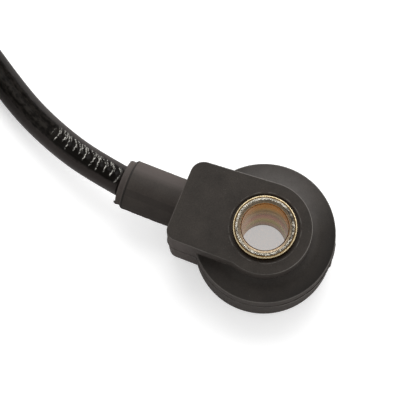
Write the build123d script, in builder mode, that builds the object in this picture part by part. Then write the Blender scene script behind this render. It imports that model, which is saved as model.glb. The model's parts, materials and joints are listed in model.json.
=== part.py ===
# Engine knock sensor with a short moulded-in lead and a two-way plug.
# Millimetres. The origin is on the bore's axis, at the steel face that is bolted to the engine.
# +Z runs up along the bore, and the lead leaves the housing towards -X.
import os
from math import cos, degrees, pi, radians, sin, sqrt, tan

from build123d import *

os.makedirs("parts", exist_ok=True)

# Clearances
turned_clearance = 0.05
mould_clearance = 0.1
wire_clearance = 0.03

# Steel bushing
bore_radius = 4.2
bushing_wall = 1.55
bushing_height = 18.0
bushing_top_chamfer = 0.35
bore_chamfer = 0.3
flange_overhang = 0.8
flange_thickness = 2.4
flange_chamfer = 0.3
grip_groove_depth = 0.35
grip_groove_width = 0.7
flange_groove_z = 1.2
shaft_groove_drops = (2.4, 1.1)

# Pieces clamped on the bushing, from the flange upwards. The mass takes up the height that is left.
sleeve_wall = 0.3
insulator_thickness = 0.3
insulator_overhang = 0.3
contact_thickness = 0.3
contact_ring_width = 3.1
piezo_thickness = 2.6
piezo_ring_width = 3.1
mass_overhang = 0.3
mass_chamfer = 0.4
spring_overhang = 1.2
spring_thickness = 0.5
spring_rise = 0.4
nut_wall = 1.6
nut_height = 2.4
nut_chamfer = 0.3
nut_notch_width = 2.0
nut_notch_depth = 0.9
bushing_above_nut = 4.3

# Moulded housing
disc_wall = 2.5
disc_bottom_z = 0.6
disc_edge_radius = 0.3
disc_top_slope = 4.5
disc_bottom_chamfer = 0.3
draft_angle = 0.7
bushing_proud = 1.0
plate_rise = 4.1
plate_wall = 1.1
plate_edge_radius = 0.25
block_end_wall = 2.0
block_side_step = 0.4
block_side_lean = 0.1
block_taper_angle = 4.5
block_bottom_z = 1.6
block_corner_radius_left = 2.6
block_corner_radius_right = 2.0
block_blend_radius = 3.0
bushing_recess_width = 0.5
bushing_recess_depth = 0.35

# Cable stub of the housing, with the narrower rim at its mouth
stub_wall = 1.81
stub_length = 10.1
stub_axis_drop = 0.1
stub_root_overlap = 2.0
stub_root_radius = 0.6
rim_wall = 1.35
rim_bevel_length = 0.5
rim_length = 0.9
rim_edge_radius = 0.4

# Cable and its two wires
cable_radius = 2.85
jacket_setback = 4.7
wire_radius = 0.75
conductor_radius = 0.45
wire_offset = 1.7
bared_length = 0.2

# Terminals, bleed resistor and the pocket of the housing that holds them
tab_length = 3.3
tab_offset = 3.0
tab_width = 2.4
barrel_radius = 0.8
barrel_length = 2.0
barrel_reach = 0.8
foot_length = 1.6
foot_drop = 1.1
resistor_radius = 0.9
resistor_half_length = 1.5
resistor_edge_chamfer = 0.3
resistor_lead_radius = 0.2
resistor_drop = 1.2
pocket_end_gap = 0.9
pocket_side_gap = 0.3
pocket_top_gap = 0.3

# Coil that the length out of the photograph is put away in, with its angles in degrees
coil_centre = (-95.6, -3.6)
coil_radius = 31.0
first_turn_start = 66.0
first_turn_end = 385.0
second_turn_start = 0.0
second_turn_end = 235.0
full_turn = 360.0
coil_skin_step = 0.02
tie_angle = 150.0
tie_thickness = 0.8
tie_width = 6.0
tie_clearance = 0.05

# Plug at the lead's far end, lying along +X
plug_y = -40.5
plug_z = 6.5
plug_rear_x = -74.0
plug_length = 28.0
plug_width = 14.0
plug_height = 13.0
plug_corner_radius = 2.0
plug_edge_chamfer = 0.5
socket_depth = 11.0
socket_width = 10.8
socket_height = 9.4
socket_corner_radius = 1.2
seal_bore_depth = 7.0
web_thickness = 3.0
cap_length = 6.2
cap_wall = 1.15
cap_lip = 1.05
cap_edge_chamfer = 0.4
seal_wall = 1.6
seal_setback = 0.6
seal_length = 5.0
seal_lip_count = 3
plug_jacket_length = 6.2
pin_tip_setback = 4.6
pin_width = 1.5
pin_thickness = 0.8
pin_barrel_radius = 1.2
pin_barrel_length = 3.6
latch_length = 4.0
latch_width = 5.0
latch_rise = 1.1
latch_setback = 4.0
latch_land = 1.0
latch_root = 0.5
key_rib_width = 1.2
key_rib_rise = 0.8
key_rib_length = 12.0
key_rib_root = 0.2

# Radii, from the bore outwards
bushing_radius = bore_radius + bushing_wall
sleeve_radius = bushing_radius + turned_clearance + sleeve_wall
ring_inner_radius = sleeve_radius + mould_clearance
contact_radius = ring_inner_radius + contact_ring_width
piezo_radius = ring_inner_radius + piezo_ring_width
insulator_radius = contact_radius + insulator_overhang
mass_radius = piezo_radius + mass_overhang
stack_radius = max(insulator_radius, mass_radius)
flange_radius = stack_radius + flange_overhang
disc_radius = flange_radius + disc_wall
nut_radius = bushing_radius + turned_clearance + nut_wall
spring_radius = nut_radius + spring_overhang
plate_radius = nut_radius + mould_clearance + plate_wall

# Heights of the clamped pieces: upwards from the flange, and downwards from the bushing's top
lower_insulator_z = flange_thickness
lower_contact_z = lower_insulator_z + insulator_thickness
piezo_z = lower_contact_z + contact_thickness
upper_contact_z = piezo_z + piezo_thickness
upper_insulator_z = upper_contact_z + contact_thickness
mass_z = upper_insulator_z + insulator_thickness
nut_top_z = bushing_height - bushing_above_nut
nut_z = nut_top_z - nut_height
spring_z = nut_z - spring_rise - spring_thickness

# Heights of the housing, with the cable's axis and the parting line half way up the block
plate_top_z = bushing_height - bushing_proud
disc_top_z = plate_top_z - plate_rise
parting_z = (plate_top_z + block_bottom_z) / 2 - stub_axis_drop
riser_top_z = parting_z - foot_drop
resistor_z = riser_top_z - resistor_drop

# Places along the cable, from the contact rings towards -X
riser_x = -contact_radius - tab_length
barrel_end_x = riser_x - barrel_reach
conductor_end_x = barrel_end_x + barrel_length
strip_x = barrel_end_x - bared_length
pocket_end_x = barrel_end_x - pocket_end_gap
jacket_end_x = pocket_end_x - jacket_setback
block_end_x = pocket_end_x - block_end_wall
stub_shoulder_x = block_end_x - stub_length
rim_start_x = stub_shoulder_x - rim_bevel_length
stub_mouth_x = rim_start_x - rim_length

# Sizes of the block, the stub and the pocket, round what they hold
block_straight_side = plate_radius - block_side_step
stub_radius = cable_radius + stub_wall
rim_radius = cable_radius + rim_wall
pocket_half_width = tab_offset + tab_width / 2 + pocket_side_gap
pocket_top_z = parting_z + barrel_radius + pocket_top_gap
seal_bore_radius = cable_radius + seal_wall + 2 * turned_clearance
cap_rear_radius = cable_radius + cap_wall
cap_front_radius = seal_bore_radius + cap_lip

# Places of the coil and the plug
cap_rear_x = plug_rear_x - cap_length
seal_start_x = plug_rear_x + seal_setback
plug_jacket_end_x = plug_rear_x + plug_jacket_length
coil_low_z = cable_radius + tie_thickness + tie_clearance
coil_high_z = coil_low_z + 2 * cable_radius
plug_front_x = plug_rear_x + plug_length
socket_floor_x = plug_front_x - socket_depth
seal_floor_x = plug_rear_x + seal_bore_depth
pin_barrel_x = socket_floor_x - web_thickness - pin_barrel_length
pin_tip_x = plug_front_x - pin_tip_setback


def save(builder, name):
    """Label a finished piece and write its STEP file."""
    builder.part.label = name
    export_step(builder.part, f"parts/{name}.step")


def ring_sketch(outer, inner):
    """Draw a flat ring in the sketch that calls this."""
    Circle(outer)
    Circle(inner, mode=Mode.SUBTRACT)


def bushing_outline(gap):
    """Draw the outside of the bushing, grown by a gap, from its axis outwards."""
    shaft = bushing_radius + gap
    flange = flange_radius + gap
    groove = grip_groove_width / 2 - gap
    points = [(0, -gap), (flange - flange_chamfer, -gap), (flange, flange_chamfer - gap)]
    points += [(flange, flange_groove_z - groove)]
    points += [(flange - grip_groove_depth, flange_groove_z - groove)]
    points += [(flange - grip_groove_depth, flange_groove_z + groove)]
    points += [(flange, flange_groove_z + groove), (flange, flange_thickness)]
    points += [(shaft, flange_thickness)]
    for drop in shaft_groove_drops:
        z = plate_top_z - drop
        points += [(shaft, z - groove), (shaft - grip_groove_depth, z - groove)]
        points += [(shaft - grip_groove_depth, z + groove), (shaft, z + groove)]
    points += [(shaft, bushing_height - bushing_top_chamfer)]
    points += [(shaft - bushing_top_chamfer, bushing_height), (0, bushing_height)]
    Polyline(*points, close=True)


# Bushing: turned from bar, with grooves that the moulded plastic grips
with BuildPart() as bushing:
    with BuildSketch(Plane.XZ):
        with BuildLine():
            bushing_outline(0)
        make_face()
    revolve(axis=Axis.Z)
    Hole(bore_radius)
    chamfer(bushing.faces().sort_by(Axis.Z)[-1].inner_wires()[0].edges(), bore_chamfer)
save(bushing, "bushing")

# Insulating sleeve: keeps the contacts and the piezo ring off the steel
with BuildPart() as insulating_sleeve:
    with BuildSketch(Plane.XY.offset(flange_thickness)):
        ring_sketch(sleeve_radius, bushing_radius + turned_clearance)
    extrude(amount=mass_z - flange_thickness)
save(insulating_sleeve, "insulating_sleeve")

# Film insulators below and above the piezo ring and its contacts
for name, z in (("lower_insulator", lower_insulator_z), ("upper_insulator", upper_insulator_z)):
    with BuildPart() as insulator:
        with BuildSketch(Plane.XY.offset(z)):
            ring_sketch(insulator_radius, ring_inner_radius)
        extrude(amount=insulator_thickness)
    save(insulator, name)

# Contact plates: a stamped ring with a tab that is bent up beside the wires
for name, z, side in (("lower_contact_plate", lower_contact_z, -1), ("upper_contact_plate", upper_contact_z, 1)):
    with BuildPart() as contact_plate:
        with BuildSketch(Plane.XY.offset(z)):
            Circle(contact_radius)
            with Locations((riser_x / 2, side * tab_offset)):
                Rectangle(-riser_x, tab_width)
            Circle(ring_inner_radius, mode=Mode.SUBTRACT)
        extrude(amount=contact_thickness)
        with BuildSketch(Plane.XY.offset(z)):
            with Locations((riser_x + contact_thickness / 2, side * tab_offset)):
                Rectangle(contact_thickness, tab_width)
        extrude(amount=riser_top_z - z)
    save(contact_plate, name)

# Piezo ring
with BuildPart() as piezo_ring:
    with BuildSketch(Plane.XY.offset(piezo_z)):
        ring_sketch(piezo_radius, ring_inner_radius)
    extrude(amount=piezo_thickness)
save(piezo_ring, "piezo_ring")

# Seismic mass: the steel ring whose weight presses and releases the piezo ring
with BuildPart() as seismic_mass:
    with BuildSketch(Plane.XY.offset(mass_z)):
        ring_sketch(mass_radius, bushing_radius + turned_clearance)
    extrude(amount=spring_z - mass_z)
    outer_edges = seismic_mass.edges().filter_by(GeomType.CIRCLE).group_by(SortBy.RADIUS)[-1]
    chamfer(outer_edges, mass_chamfer)
save(seismic_mass, "seismic_mass")

# Disc spring: a shallow cone between the mass and the nut
with BuildPart() as disc_spring:
    with BuildSketch(Plane.XZ):
        with BuildLine():
            spring_inner = bushing_radius + mould_clearance
            Polyline((spring_inner, spring_z + spring_rise), (spring_radius, spring_z),
                     (spring_radius, spring_z + spring_thickness),
                     (spring_inner, spring_z + spring_thickness + spring_rise), close=True)
        make_face()
    revolve(axis=Axis.Z)
save(disc_spring, "disc_spring")

# Clamp nut: a round nut with four notches for its driver
with BuildPart() as clamp_nut:
    with BuildSketch(Plane.XY.offset(nut_z)):
        ring_sketch(nut_radius, bushing_radius + turned_clearance)
        with PolarLocations(nut_radius, 4):
            Rectangle(2 * nut_notch_depth, nut_notch_width, mode=Mode.SUBTRACT)
    extrude(amount=nut_height)
    chamfer(clamp_nut.faces().sort_by(Axis.Z)[-1].outer_wire().edges(), nut_chamfer)
save(clamp_nut, "clamp_nut")

# Wires, crimp terminals and the bleed resistor between the two contact tabs
for name, side in (("signal", 1), ("ground", -1)):
    wire_y = side * wire_offset
    with BuildPart() as wire:
        with BuildSketch(Plane.YZ.offset(jacket_end_x)):
            with Locations((wire_y, parting_z)):
                Circle(wire_radius)
        extrude(amount=strip_x - jacket_end_x)
        with BuildSketch(Plane.YZ.offset(strip_x)):
            with Locations((wire_y, parting_z)):
                Circle(conductor_radius)
        extrude(amount=conductor_end_x - strip_x)
    save(wire, f"{name}_wire")

    with BuildPart() as terminal:
        with BuildSketch(Plane.YZ.offset(barrel_end_x)):
            with Locations((wire_y, parting_z)):
                Circle(barrel_radius)
        extrude(amount=conductor_end_x - barrel_end_x)
        foot_outer_y = tab_offset + tab_width / 2
        with BuildSketch(Plane.XY.offset(riser_top_z)):
            with Locations((riser_x + contact_thickness / 2, side * (wire_offset + foot_outer_y) / 2)):
                Rectangle(foot_length, foot_outer_y - wire_offset)
        extrude(amount=parting_z - barrel_radius / 2 - riser_top_z)
        with BuildSketch(Plane.YZ.offset(barrel_end_x)):
            with Locations((wire_y, parting_z)):
                Circle(conductor_radius + wire_clearance)
        extrude(amount=conductor_end_x - barrel_end_x, mode=Mode.SUBTRACT)
    save(terminal, f"{name}_terminal")

resistor_x = riser_x - resistor_lead_radius
with BuildPart() as bleed_resistor:
    with BuildSketch(Plane.XZ.offset(-resistor_half_length)):
        with Locations((resistor_x, resistor_z)):
            Circle(resistor_radius)
    extrude(amount=2 * resistor_half_length)
    chamfer(bleed_resistor.edges().filter_by(GeomType.CIRCLE), resistor_edge_chamfer)
    lead_reach = tab_offset + tab_width / 3
    with BuildSketch(Plane.XZ.offset(-lead_reach)):
        with Locations((resistor_x, resistor_z)):
            Circle(resistor_lead_radius)
    extrude(amount=2 * lead_reach)
save(bleed_resistor, "bleed_resistor")

# Cable end: the jacket inside the stub, with the two wires coming out of it
with BuildPart() as cable_end:
    with BuildSketch(Plane.YZ.offset(stub_mouth_x)):
        with Locations((0, parting_z)):
            Circle(cable_radius)
    extrude(amount=jacket_end_x - stub_mouth_x)
save(cable_end, "cable_end")


def block_corners():
    """Give the corners of the cable block, which runs off the plate's round towards the cable."""
    slope = radians(block_taper_angle)
    tangent_x = -plate_radius * sin(slope)
    tangent_y = plate_radius * cos(slope)
    left_y = tangent_y - (tangent_x - block_end_x) * tan(slope)
    inner_side = block_straight_side - block_side_lean
    junction_x = -sqrt(plate_radius**2 - inner_side**2)
    return [(0, 0), (tangent_x, tangent_y), (block_end_x, left_y), (block_end_x, -block_straight_side),
            (junction_x, -inner_side)]


def round_plate_corners(sketch):
    """Round the block's two far corners and the hollow where its straight side meets the round."""
    far_corners = sketch.vertices().group_by(Axis.X)[0].sort_by(Axis.Y)
    fillet(far_corners[0], block_corner_radius_right)
    far_corners = sketch.vertices().filter_by(lambda v: v.X < block_end_x + 0.01).sort_by(Axis.Y)
    fillet(far_corners[-1], block_corner_radius_left)
    hollow = sketch.vertices().filter_by(lambda v: v.Y < -plate_radius / 2 and v.X > -plate_radius / 2)
    fillet(hollow.sort_by(Axis.X)[0], block_blend_radius)


# Housing: one moulding over the bushing and the clamped pieces
with BuildPart() as housing:
    # The disc tapers both ways from the parting line, and its top rises a little towards the plate
    with BuildSketch(Plane.XZ):
        with BuildLine():
            bottom_radius = disc_radius - (parting_z - disc_bottom_z) * tan(radians(draft_angle))
            top_radius = disc_radius - (disc_top_z - parting_z) * tan(radians(draft_angle))
            disc_peak_z = disc_top_z + top_radius * tan(radians(disc_top_slope))
            Polyline((0, disc_bottom_z), (bottom_radius, disc_bottom_z), (disc_radius, parting_z),
                     (top_radius, disc_top_z), (0, disc_peak_z), close=True)
        make_face()
    revolve(axis=Axis.Z)
    fillet(housing.edges().filter_by(GeomType.CIRCLE).sort_by(Axis.Z)[-1], disc_edge_radius)
    chamfer(housing.faces().sort_by(Axis.Z)[0].edges(), disc_bottom_chamfer)

    with BuildSketch(Plane.XY.offset(parting_z)) as plate:
        with BuildLine():
            Polyline(*block_corners(), close=True)
        make_face()
        Circle(plate_radius)
        round_plate_corners(plate)
    extrude(amount=plate_top_z - parting_z, taper=draft_angle)
    extrude(plate.sketch, amount=block_bottom_z - parting_z, taper=draft_angle)
    fillet(housing.faces().sort_by(Axis.Z)[-1].edges(), plate_edge_radius)

    with BuildSketch(Plane.XZ):
        with BuildLine():
            root_x = block_end_x + stub_root_overlap
            Polyline((root_x, parting_z), (stub_mouth_x, parting_z), (stub_mouth_x, parting_z + rim_radius),
                     (rim_start_x, parting_z + rim_radius), (stub_shoulder_x, parting_z + stub_radius),
                     (root_x, parting_z + stub_radius), close=True)
        make_face()
    revolve(axis=Axis((0, 0, parting_z), (1, 0, 0)))
    fillet(housing.faces().sort_by(Axis.X)[0].edges(), rim_edge_radius)
    stub_root = housing.edges().filter_by(GeomType.ELLIPSE)
    fillet(stub_root.filter_by(lambda e: abs(e.center().X - block_end_x) < stub_root_radius), stub_root_radius)

    # Hollow that the bushing and the clamped pieces fill
    with BuildSketch(Plane.XZ):
        with BuildLine():
            bushing_outline(turned_clearance)
        make_face()
        for top, bottom, radius in ((spring_z, flange_thickness, stack_radius), (nut_z, spring_z, spring_radius),
                                    (nut_top_z, nut_z, nut_radius)):
            with Locations((0, bottom)):
                Rectangle(radius + mould_clearance, top - bottom, align=(Align.MIN, Align.MIN))
        with Locations((0, plate_top_z - bushing_recess_depth)):
            Rectangle(bushing_radius + bushing_recess_width, bushing_height, align=(Align.MIN, Align.MIN))
    revolve(axis=Axis.Z, mode=Mode.SUBTRACT)

    # Pocket for the terminals, the way of the wires and the bore that the cable sits in
    pocket_bottom_z = lower_contact_z - mould_clearance
    with BuildSketch(Plane.XY.offset(pocket_bottom_z)):
        Rectangle(-pocket_end_x, 2 * pocket_half_width, align=(Align.MAX, Align.CENTER))
        Circle(stack_radius, mode=Mode.SUBTRACT)
    extrude(amount=pocket_top_z - pocket_bottom_z, mode=Mode.SUBTRACT)
    with BuildSketch(Plane.YZ.offset(jacket_end_x)):
        with Locations((0, parting_z)):
            SlotCenterToCenter(2 * wire_offset, 2 * (wire_radius + mould_clearance))
    extrude(amount=pocket_end_x - jacket_end_x, mode=Mode.SUBTRACT)
    with BuildSketch(Plane.YZ.offset(stub_mouth_x)):
        with Locations((0, parting_z)):
            Circle(cable_radius + turned_clearance)
    extrude(amount=jacket_end_x - stub_mouth_x, mode=Mode.SUBTRACT)
save(housing, "housing")

# Route of the lead from the stub's mouth to the coil, chosen by hand after the photograph
lead_route = [(stub_mouth_x, 0, parting_z), (-35.0, 1.1, 8.5), (-42.4, 3.45, 6.5), (-50.2, 6.9, 3.8),
              (-57.4, 11.1, 2.9), (-65.3, 16.1, 2.85), (-73.9, 20.6, 2.95), (-83.0, 24.7, coil_low_z)]

# Route of the tail from the coil's upper turn to the plug
tail_start = (coil_centre[0] + coil_radius * cos(radians(second_turn_end)),
              coil_centre[1] + coil_radius * sin(radians(second_turn_end)), coil_high_z)
tail_route = [tail_start, (-104.4, -35.3, 9.4), (-95.6, -39.0, 8.3), (-87.2, -40.5, 6.8),
              (cap_rear_x, plug_y, plug_z)]


def bend_radii(route):
    """Give each corner the largest arc that its two runs allow."""
    places = [Vector(*point) for point in route]
    radii = []
    for before, corner, after in zip(places, places[1:], places[2:]):
        arriving = corner - before
        leaving = after - corner
        half_turn = radians(arriving.get_angle(leaving)) / 2
        radii.append(0.45 * min(arriving.length, leaving.length) / tan(half_turn))
    return radii


for name, route in (("lead", lead_route), ("lead_tail", tail_route)):
    radii = bend_radii(route)
    with BuildPart() as cord:
        with BuildLine() as path:
            FilletPolyline(*route, radius=radii)
        with BuildSketch(Plane(origin=path.wire() @ 0, z_dir=path.wire() % 0)):
            Circle(cable_radius)
        sweep()
    save(cord, name)
    print(name, "length", round(path.wire().length, 1), "radii", [round(r, 1) for r in radii])
    print(name, "volume against section times length",
          round(cord.part.volume / (pi * cable_radius**2 * path.wire().length), 4))


def coil_plane(angle):
    """Give the upright plane through the coil's axis at an angle, its X pointing outwards."""
    outwards = (cos(radians(angle)), sin(radians(angle)), 0)
    return Plane(origin=(*coil_centre, 0), x_dir=outwards, z_dir=(outwards[1], -outwards[0], 0))


# Coil: the outer shape of one turn on the floor and the part turn that lies on it.
# Where both turns run, they are one section. A single turn is thinner by a hair, so that no two skins coincide.
coil_axis = Axis((*coil_centre, 0), (0, 0, 1))
first_turn_tip = first_turn_end - full_turn
with BuildPart() as lead_coil:
    for start, end in ((second_turn_start, first_turn_tip), (first_turn_start, second_turn_end)):
        with BuildSketch(coil_plane(start)):
            with Locations((coil_radius, (coil_low_z + coil_high_z) / 2)):
                SlotCenterToCenter(coil_high_z - coil_low_z, 2 * cable_radius, rotation=90)
        revolve(axis=coil_axis, revolution_arc=end - start)
    for start, end, height in ((second_turn_end, second_turn_start + full_turn, coil_low_z),
                               (first_turn_tip, first_turn_start, coil_high_z)):
        with BuildSketch(coil_plane(start)):
            with Locations((coil_radius, height)):
                Circle(cable_radius - coil_skin_step)
        revolve(axis=coil_axis, revolution_arc=end - start)
save(lead_coil, "lead_coil")
print("lead_coil sound", lead_coil.part.is_valid, "volume", round(lead_coil.part.volume, 1))

# Tie: a soft strap closed round both turns of the coil
tie_arc = degrees(tie_width / coil_radius)
with BuildPart() as coil_tie:
    with BuildSketch(coil_plane(tie_angle - tie_arc / 2)):
        inner_width = 2 * (cable_radius + tie_clearance)
        with Locations((coil_radius, (coil_low_z + coil_high_z) / 2)):
            SlotCenterToCenter(coil_high_z - coil_low_z, inner_width + 2 * tie_thickness, rotation=90)
            SlotCenterToCenter(coil_high_z - coil_low_z, inner_width, rotation=90, mode=Mode.SUBTRACT)
    revolve(axis=coil_axis, revolution_arc=tie_arc)
save(coil_tie, "coil_tie")

plug_plane = Plane(origin=(0, plug_y, plug_z), x_dir=(0, 1, 0), z_dir=(1, 0, 0))

# Plug housing: a rounded box with an open socket in front and a round seal bore behind
with BuildPart() as plug_housing:
    with BuildSketch(plug_plane.offset(plug_rear_x)):
        RectangleRounded(plug_width, plug_height, plug_corner_radius)
    extrude(amount=plug_length)
    chamfer(plug_housing.faces().sort_by(Axis.X)[0].edges(), plug_edge_chamfer)
    with BuildSketch(plug_plane.offset(socket_floor_x)):
        RectangleRounded(socket_width, socket_height, socket_corner_radius)
    extrude(amount=socket_depth, mode=Mode.SUBTRACT)
    with BuildSketch(plug_plane.offset(plug_rear_x)):
        Circle(seal_bore_radius)
    extrude(amount=seal_bore_depth, mode=Mode.SUBTRACT)
    with BuildSketch(plug_plane.offset(seal_floor_x)):
        with Locations((-wire_offset, 0), (wire_offset, 0)):
            Circle(pin_barrel_radius + turned_clearance)
    extrude(amount=pin_barrel_x + pin_barrel_length - seal_floor_x, mode=Mode.SUBTRACT)
    with BuildSketch(plug_plane.offset(pin_barrel_x + pin_barrel_length)):
        with Locations((-wire_offset, 0), (wire_offset, 0)):
            Rectangle(pin_width + 2 * wire_clearance, pin_thickness + 2 * wire_clearance)
    extrude(amount=web_thickness, mode=Mode.SUBTRACT)

    # Latch ramp on top for the mating plug's clip, and key ribs on the sides
    with BuildSketch(Plane.XZ.offset(-plug_y)):
        with BuildLine():
            latch_x = plug_front_x - latch_setback
            latch_z = plug_z + plug_height / 2
            Polyline((latch_x, latch_z), (latch_x - latch_length, latch_z + latch_rise),
                     (latch_x - latch_length - latch_land, latch_z + latch_rise),
                     (latch_x - latch_length - latch_land, latch_z - latch_root),
                     (latch_x, latch_z - latch_root), close=True)
        make_face()
    extrude(amount=latch_width / 2, both=True)
    with BuildSketch(plug_plane.offset(plug_front_x - key_rib_length - latch_setback)):
        Rectangle(plug_width + 2 * key_rib_rise, key_rib_width)
        Rectangle(plug_width - key_rib_root, key_rib_width, mode=Mode.SUBTRACT)
    extrude(amount=key_rib_length)
save(plug_housing, "plug_housing")

# Rear cap: holds the cable seal in, tapered down to the cable
with BuildPart() as plug_rear_cap:
    with BuildSketch(plug_plane.offset(cap_rear_x)) as cap_rear:
        Circle(cap_rear_radius)
    with BuildSketch(plug_plane.offset(plug_rear_x)):
        Circle(cap_front_radius)
    loft()
    chamfer(plug_rear_cap.edges().sort_by(Axis.X)[0], cap_edge_chamfer)
    with BuildSketch(plug_plane.offset(cap_rear_x)):
        Circle(cable_radius + turned_clearance)
    extrude(amount=plug_rear_x - cap_rear_x, mode=Mode.SUBTRACT)
save(plug_rear_cap, "plug_rear_cap")

# Cable seal: a ribbed rubber ring between the cable and the seal bore
with BuildPart() as plug_cable_seal:
    seal_lip_pitch = seal_length / seal_lip_count
    with BuildSketch(Plane.XZ.offset(-plug_y)):
        with BuildLine():
            seal_inner = plug_z + cable_radius + turned_clearance
            seal_crest = plug_z + seal_bore_radius - turned_clearance
            seal_valley = (seal_inner + seal_crest) / 2
            seal_points = [(seal_start_x, seal_inner), (seal_start_x, seal_valley)]
            for lip in range(seal_lip_count):
                seal_points.append((seal_start_x + (lip + 0.5) * seal_lip_pitch, seal_crest))
                seal_points.append((seal_start_x + (lip + 1) * seal_lip_pitch, seal_valley))
            seal_points.append((seal_start_x + seal_length, seal_inner))
            Polyline(*seal_points, close=True)
        make_face()
    revolve(axis=Axis((0, plug_y, plug_z), (1, 0, 0)))
save(plug_cable_seal, "plug_cable_seal")

# The cable's end inside the plug
with BuildPart() as plug_cable_end:
    with BuildSketch(plug_plane.offset(cap_rear_x)):
        Circle(cable_radius)
    extrude(amount=plug_jacket_end_x - cap_rear_x)
save(plug_cable_end, "plug_cable_end")

# Pins and the wires crimped in them
for number, side in ((1, -1), (2, 1)):
    with BuildPart() as pin:
        with BuildSketch(plug_plane.offset(pin_barrel_x)):
            with Locations((side * wire_offset, 0)):
                Circle(pin_barrel_radius)
        extrude(amount=pin_barrel_length)
        with BuildSketch(plug_plane.offset(pin_barrel_x + pin_barrel_length)):
            with Locations((side * wire_offset, 0)):
                Rectangle(pin_width, pin_thickness)
        extrude(amount=pin_tip_x - pin_barrel_x - pin_barrel_length)
        chamfer(pin.faces().sort_by(Axis.X)[-1].edges(), pin_thickness / 4)
        with BuildSketch(plug_plane.offset(pin_barrel_x)):
            with Locations((side * wire_offset, 0)):
                Circle(conductor_radius + wire_clearance)
        extrude(amount=pin_barrel_length, mode=Mode.SUBTRACT)
    save(pin, f"plug_pin_{number}")

    with BuildPart() as plug_wire:
        with BuildSketch(plug_plane.offset(plug_jacket_end_x)):
            with Locations((side * wire_offset, 0)):
                Circle(wire_radius)
        extrude(amount=pin_barrel_x - plug_jacket_end_x)
        with BuildSketch(plug_plane.offset(pin_barrel_x)):
            with Locations((side * wire_offset, 0)):
                Circle(conductor_radius)
        extrude(amount=pin_barrel_length)
    save(plug_wire, f"plug_wire_{number}")
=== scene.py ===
"""Engine knock sensor: a moulded housing over a plated steel bushing, with a coiled lead that ends in a two-way plug.

Metres, in the model's own frame: the origin is on the bore's axis at the mounting face, +Z runs up the bore,
and the lead leaves towards -X.
"""
import json
from math import cos, exp, radians, sin, tau

import bmesh
import bpy
from mathutils import Matrix, Vector, noise


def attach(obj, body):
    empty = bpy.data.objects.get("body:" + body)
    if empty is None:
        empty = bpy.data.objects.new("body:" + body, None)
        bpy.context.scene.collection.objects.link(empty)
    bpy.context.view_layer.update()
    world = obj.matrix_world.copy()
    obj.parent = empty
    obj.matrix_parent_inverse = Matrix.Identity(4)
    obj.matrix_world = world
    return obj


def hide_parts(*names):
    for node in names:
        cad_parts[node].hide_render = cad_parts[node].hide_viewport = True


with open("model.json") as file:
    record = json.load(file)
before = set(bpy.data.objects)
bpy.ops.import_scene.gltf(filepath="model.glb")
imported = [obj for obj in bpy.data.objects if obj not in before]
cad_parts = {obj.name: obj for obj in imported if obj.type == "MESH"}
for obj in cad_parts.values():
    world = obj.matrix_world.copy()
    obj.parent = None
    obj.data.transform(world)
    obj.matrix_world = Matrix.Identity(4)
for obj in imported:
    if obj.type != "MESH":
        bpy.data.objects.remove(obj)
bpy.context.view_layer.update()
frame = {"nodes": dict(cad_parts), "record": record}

MM = 0.001

# Sizes that the CAD model has, in millimetres
bore_radius = 4.2
bushing_radius = 5.75
bushing_height = 18.0
grip_grooves = (14.6, 15.9)
groove_depth = 0.35
flange_radius = 10.4
flange_thickness = 2.4
parting_z = 9.2
disc_top_z = 12.9
disc_top_slope = 4.5
block_end_x = -16.3
cable_radius = 2.85
stub_mouth_x = -27.8
coil_centre = (-95.6, -3.6)
coil_radius = 31.0
coil_low_z = 3.7
coil_high_z = 9.4
plug_y = -40.5
plug_z = 6.5
plug_front_x = -46.0
plug_rear_x = -74.0
plug_height = 13.0
plug_width = 14.0
cap_rear_x = -80.2
tie_angle = 150.0
tie_width = 6.0
tie_thickness = 0.8
tie_clearance = 0.05

# The way out from the bore's axis to where the flash and the painted shadow below it are heaviest
heavy_side = (0.94, -0.34, 0)

# The lead's route: the stretch that the photograph shows, the coil's turns in degrees, and the tail to the plug
lead_route = [(stub_mouth_x, 0, parting_z), (-35.0, 1.1, 8.5), (-42.4, 3.45, 6.5), (-50.2, 6.9, 3.8),
              (-57.4, 11.1, 2.9), (-65.3, 16.1, 2.85), (-73.9, 20.6, 2.95), (-83.0, 24.7, coil_low_z)]
coil_start, coil_end, coil_step = 66, 595, 23
climb_start, climb_end = 345, 400
tail_route = [(-104.4, -35.3, 9.4), (-95.6, -39.0, 8.3), (-87.2, -40.5, 6.8), (cap_rear_x, plug_y, plug_z)]


# ---------------------------------------------------------------- camera

def into_scene(name, data):
    """Make an object of a mesh, a light or a lens, and link it into the scene."""
    thing = bpy.data.objects.new(name, data)
    bpy.context.scene.collection.objects.link(thing)
    return thing


def place_camera():
    """Stand the camera where the photograph was taken from, high over the housing and turned a little."""
    stand = Vector((17.31, -59.77, 303.6))
    image_right = Vector((0.92683, 0.37505, -0.01799))
    image_up = Vector((-0.36146, 0.90417, 0.22764))
    forward = Vector((-0.10164, 0.20448, -0.97358))
    lens = bpy.data.cameras.new("photo_camera")
    lens.lens = 148.5
    lens.sensor_width = 36
    lens.clip_start = 0.01
    lens.clip_end = 20
    camera = into_scene("photo_camera", lens)
    turn = Matrix((image_right, image_up, -forward)).transposed().to_4x4()
    camera.matrix_world = Matrix.Translation(stand * MM) @ turn
    bpy.context.scene.camera = camera


# ---------------------------------------------------------------- mesh helpers

def smooth_step(low, high, value):
    """Rise smoothly from 0 at low to 1 at high."""
    share = min(max((value - low) / (high - low), 0), 1)
    return share * share * (3 - 2 * share)


def add_piece(name, mesh, slot):
    """Put a finished mesh into the scene as a piece of the object, with its slot's material."""
    piece = into_scene(name, mesh)
    mesh.materials.clear()
    mesh.materials.append(finishes[slot])
    return piece


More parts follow.
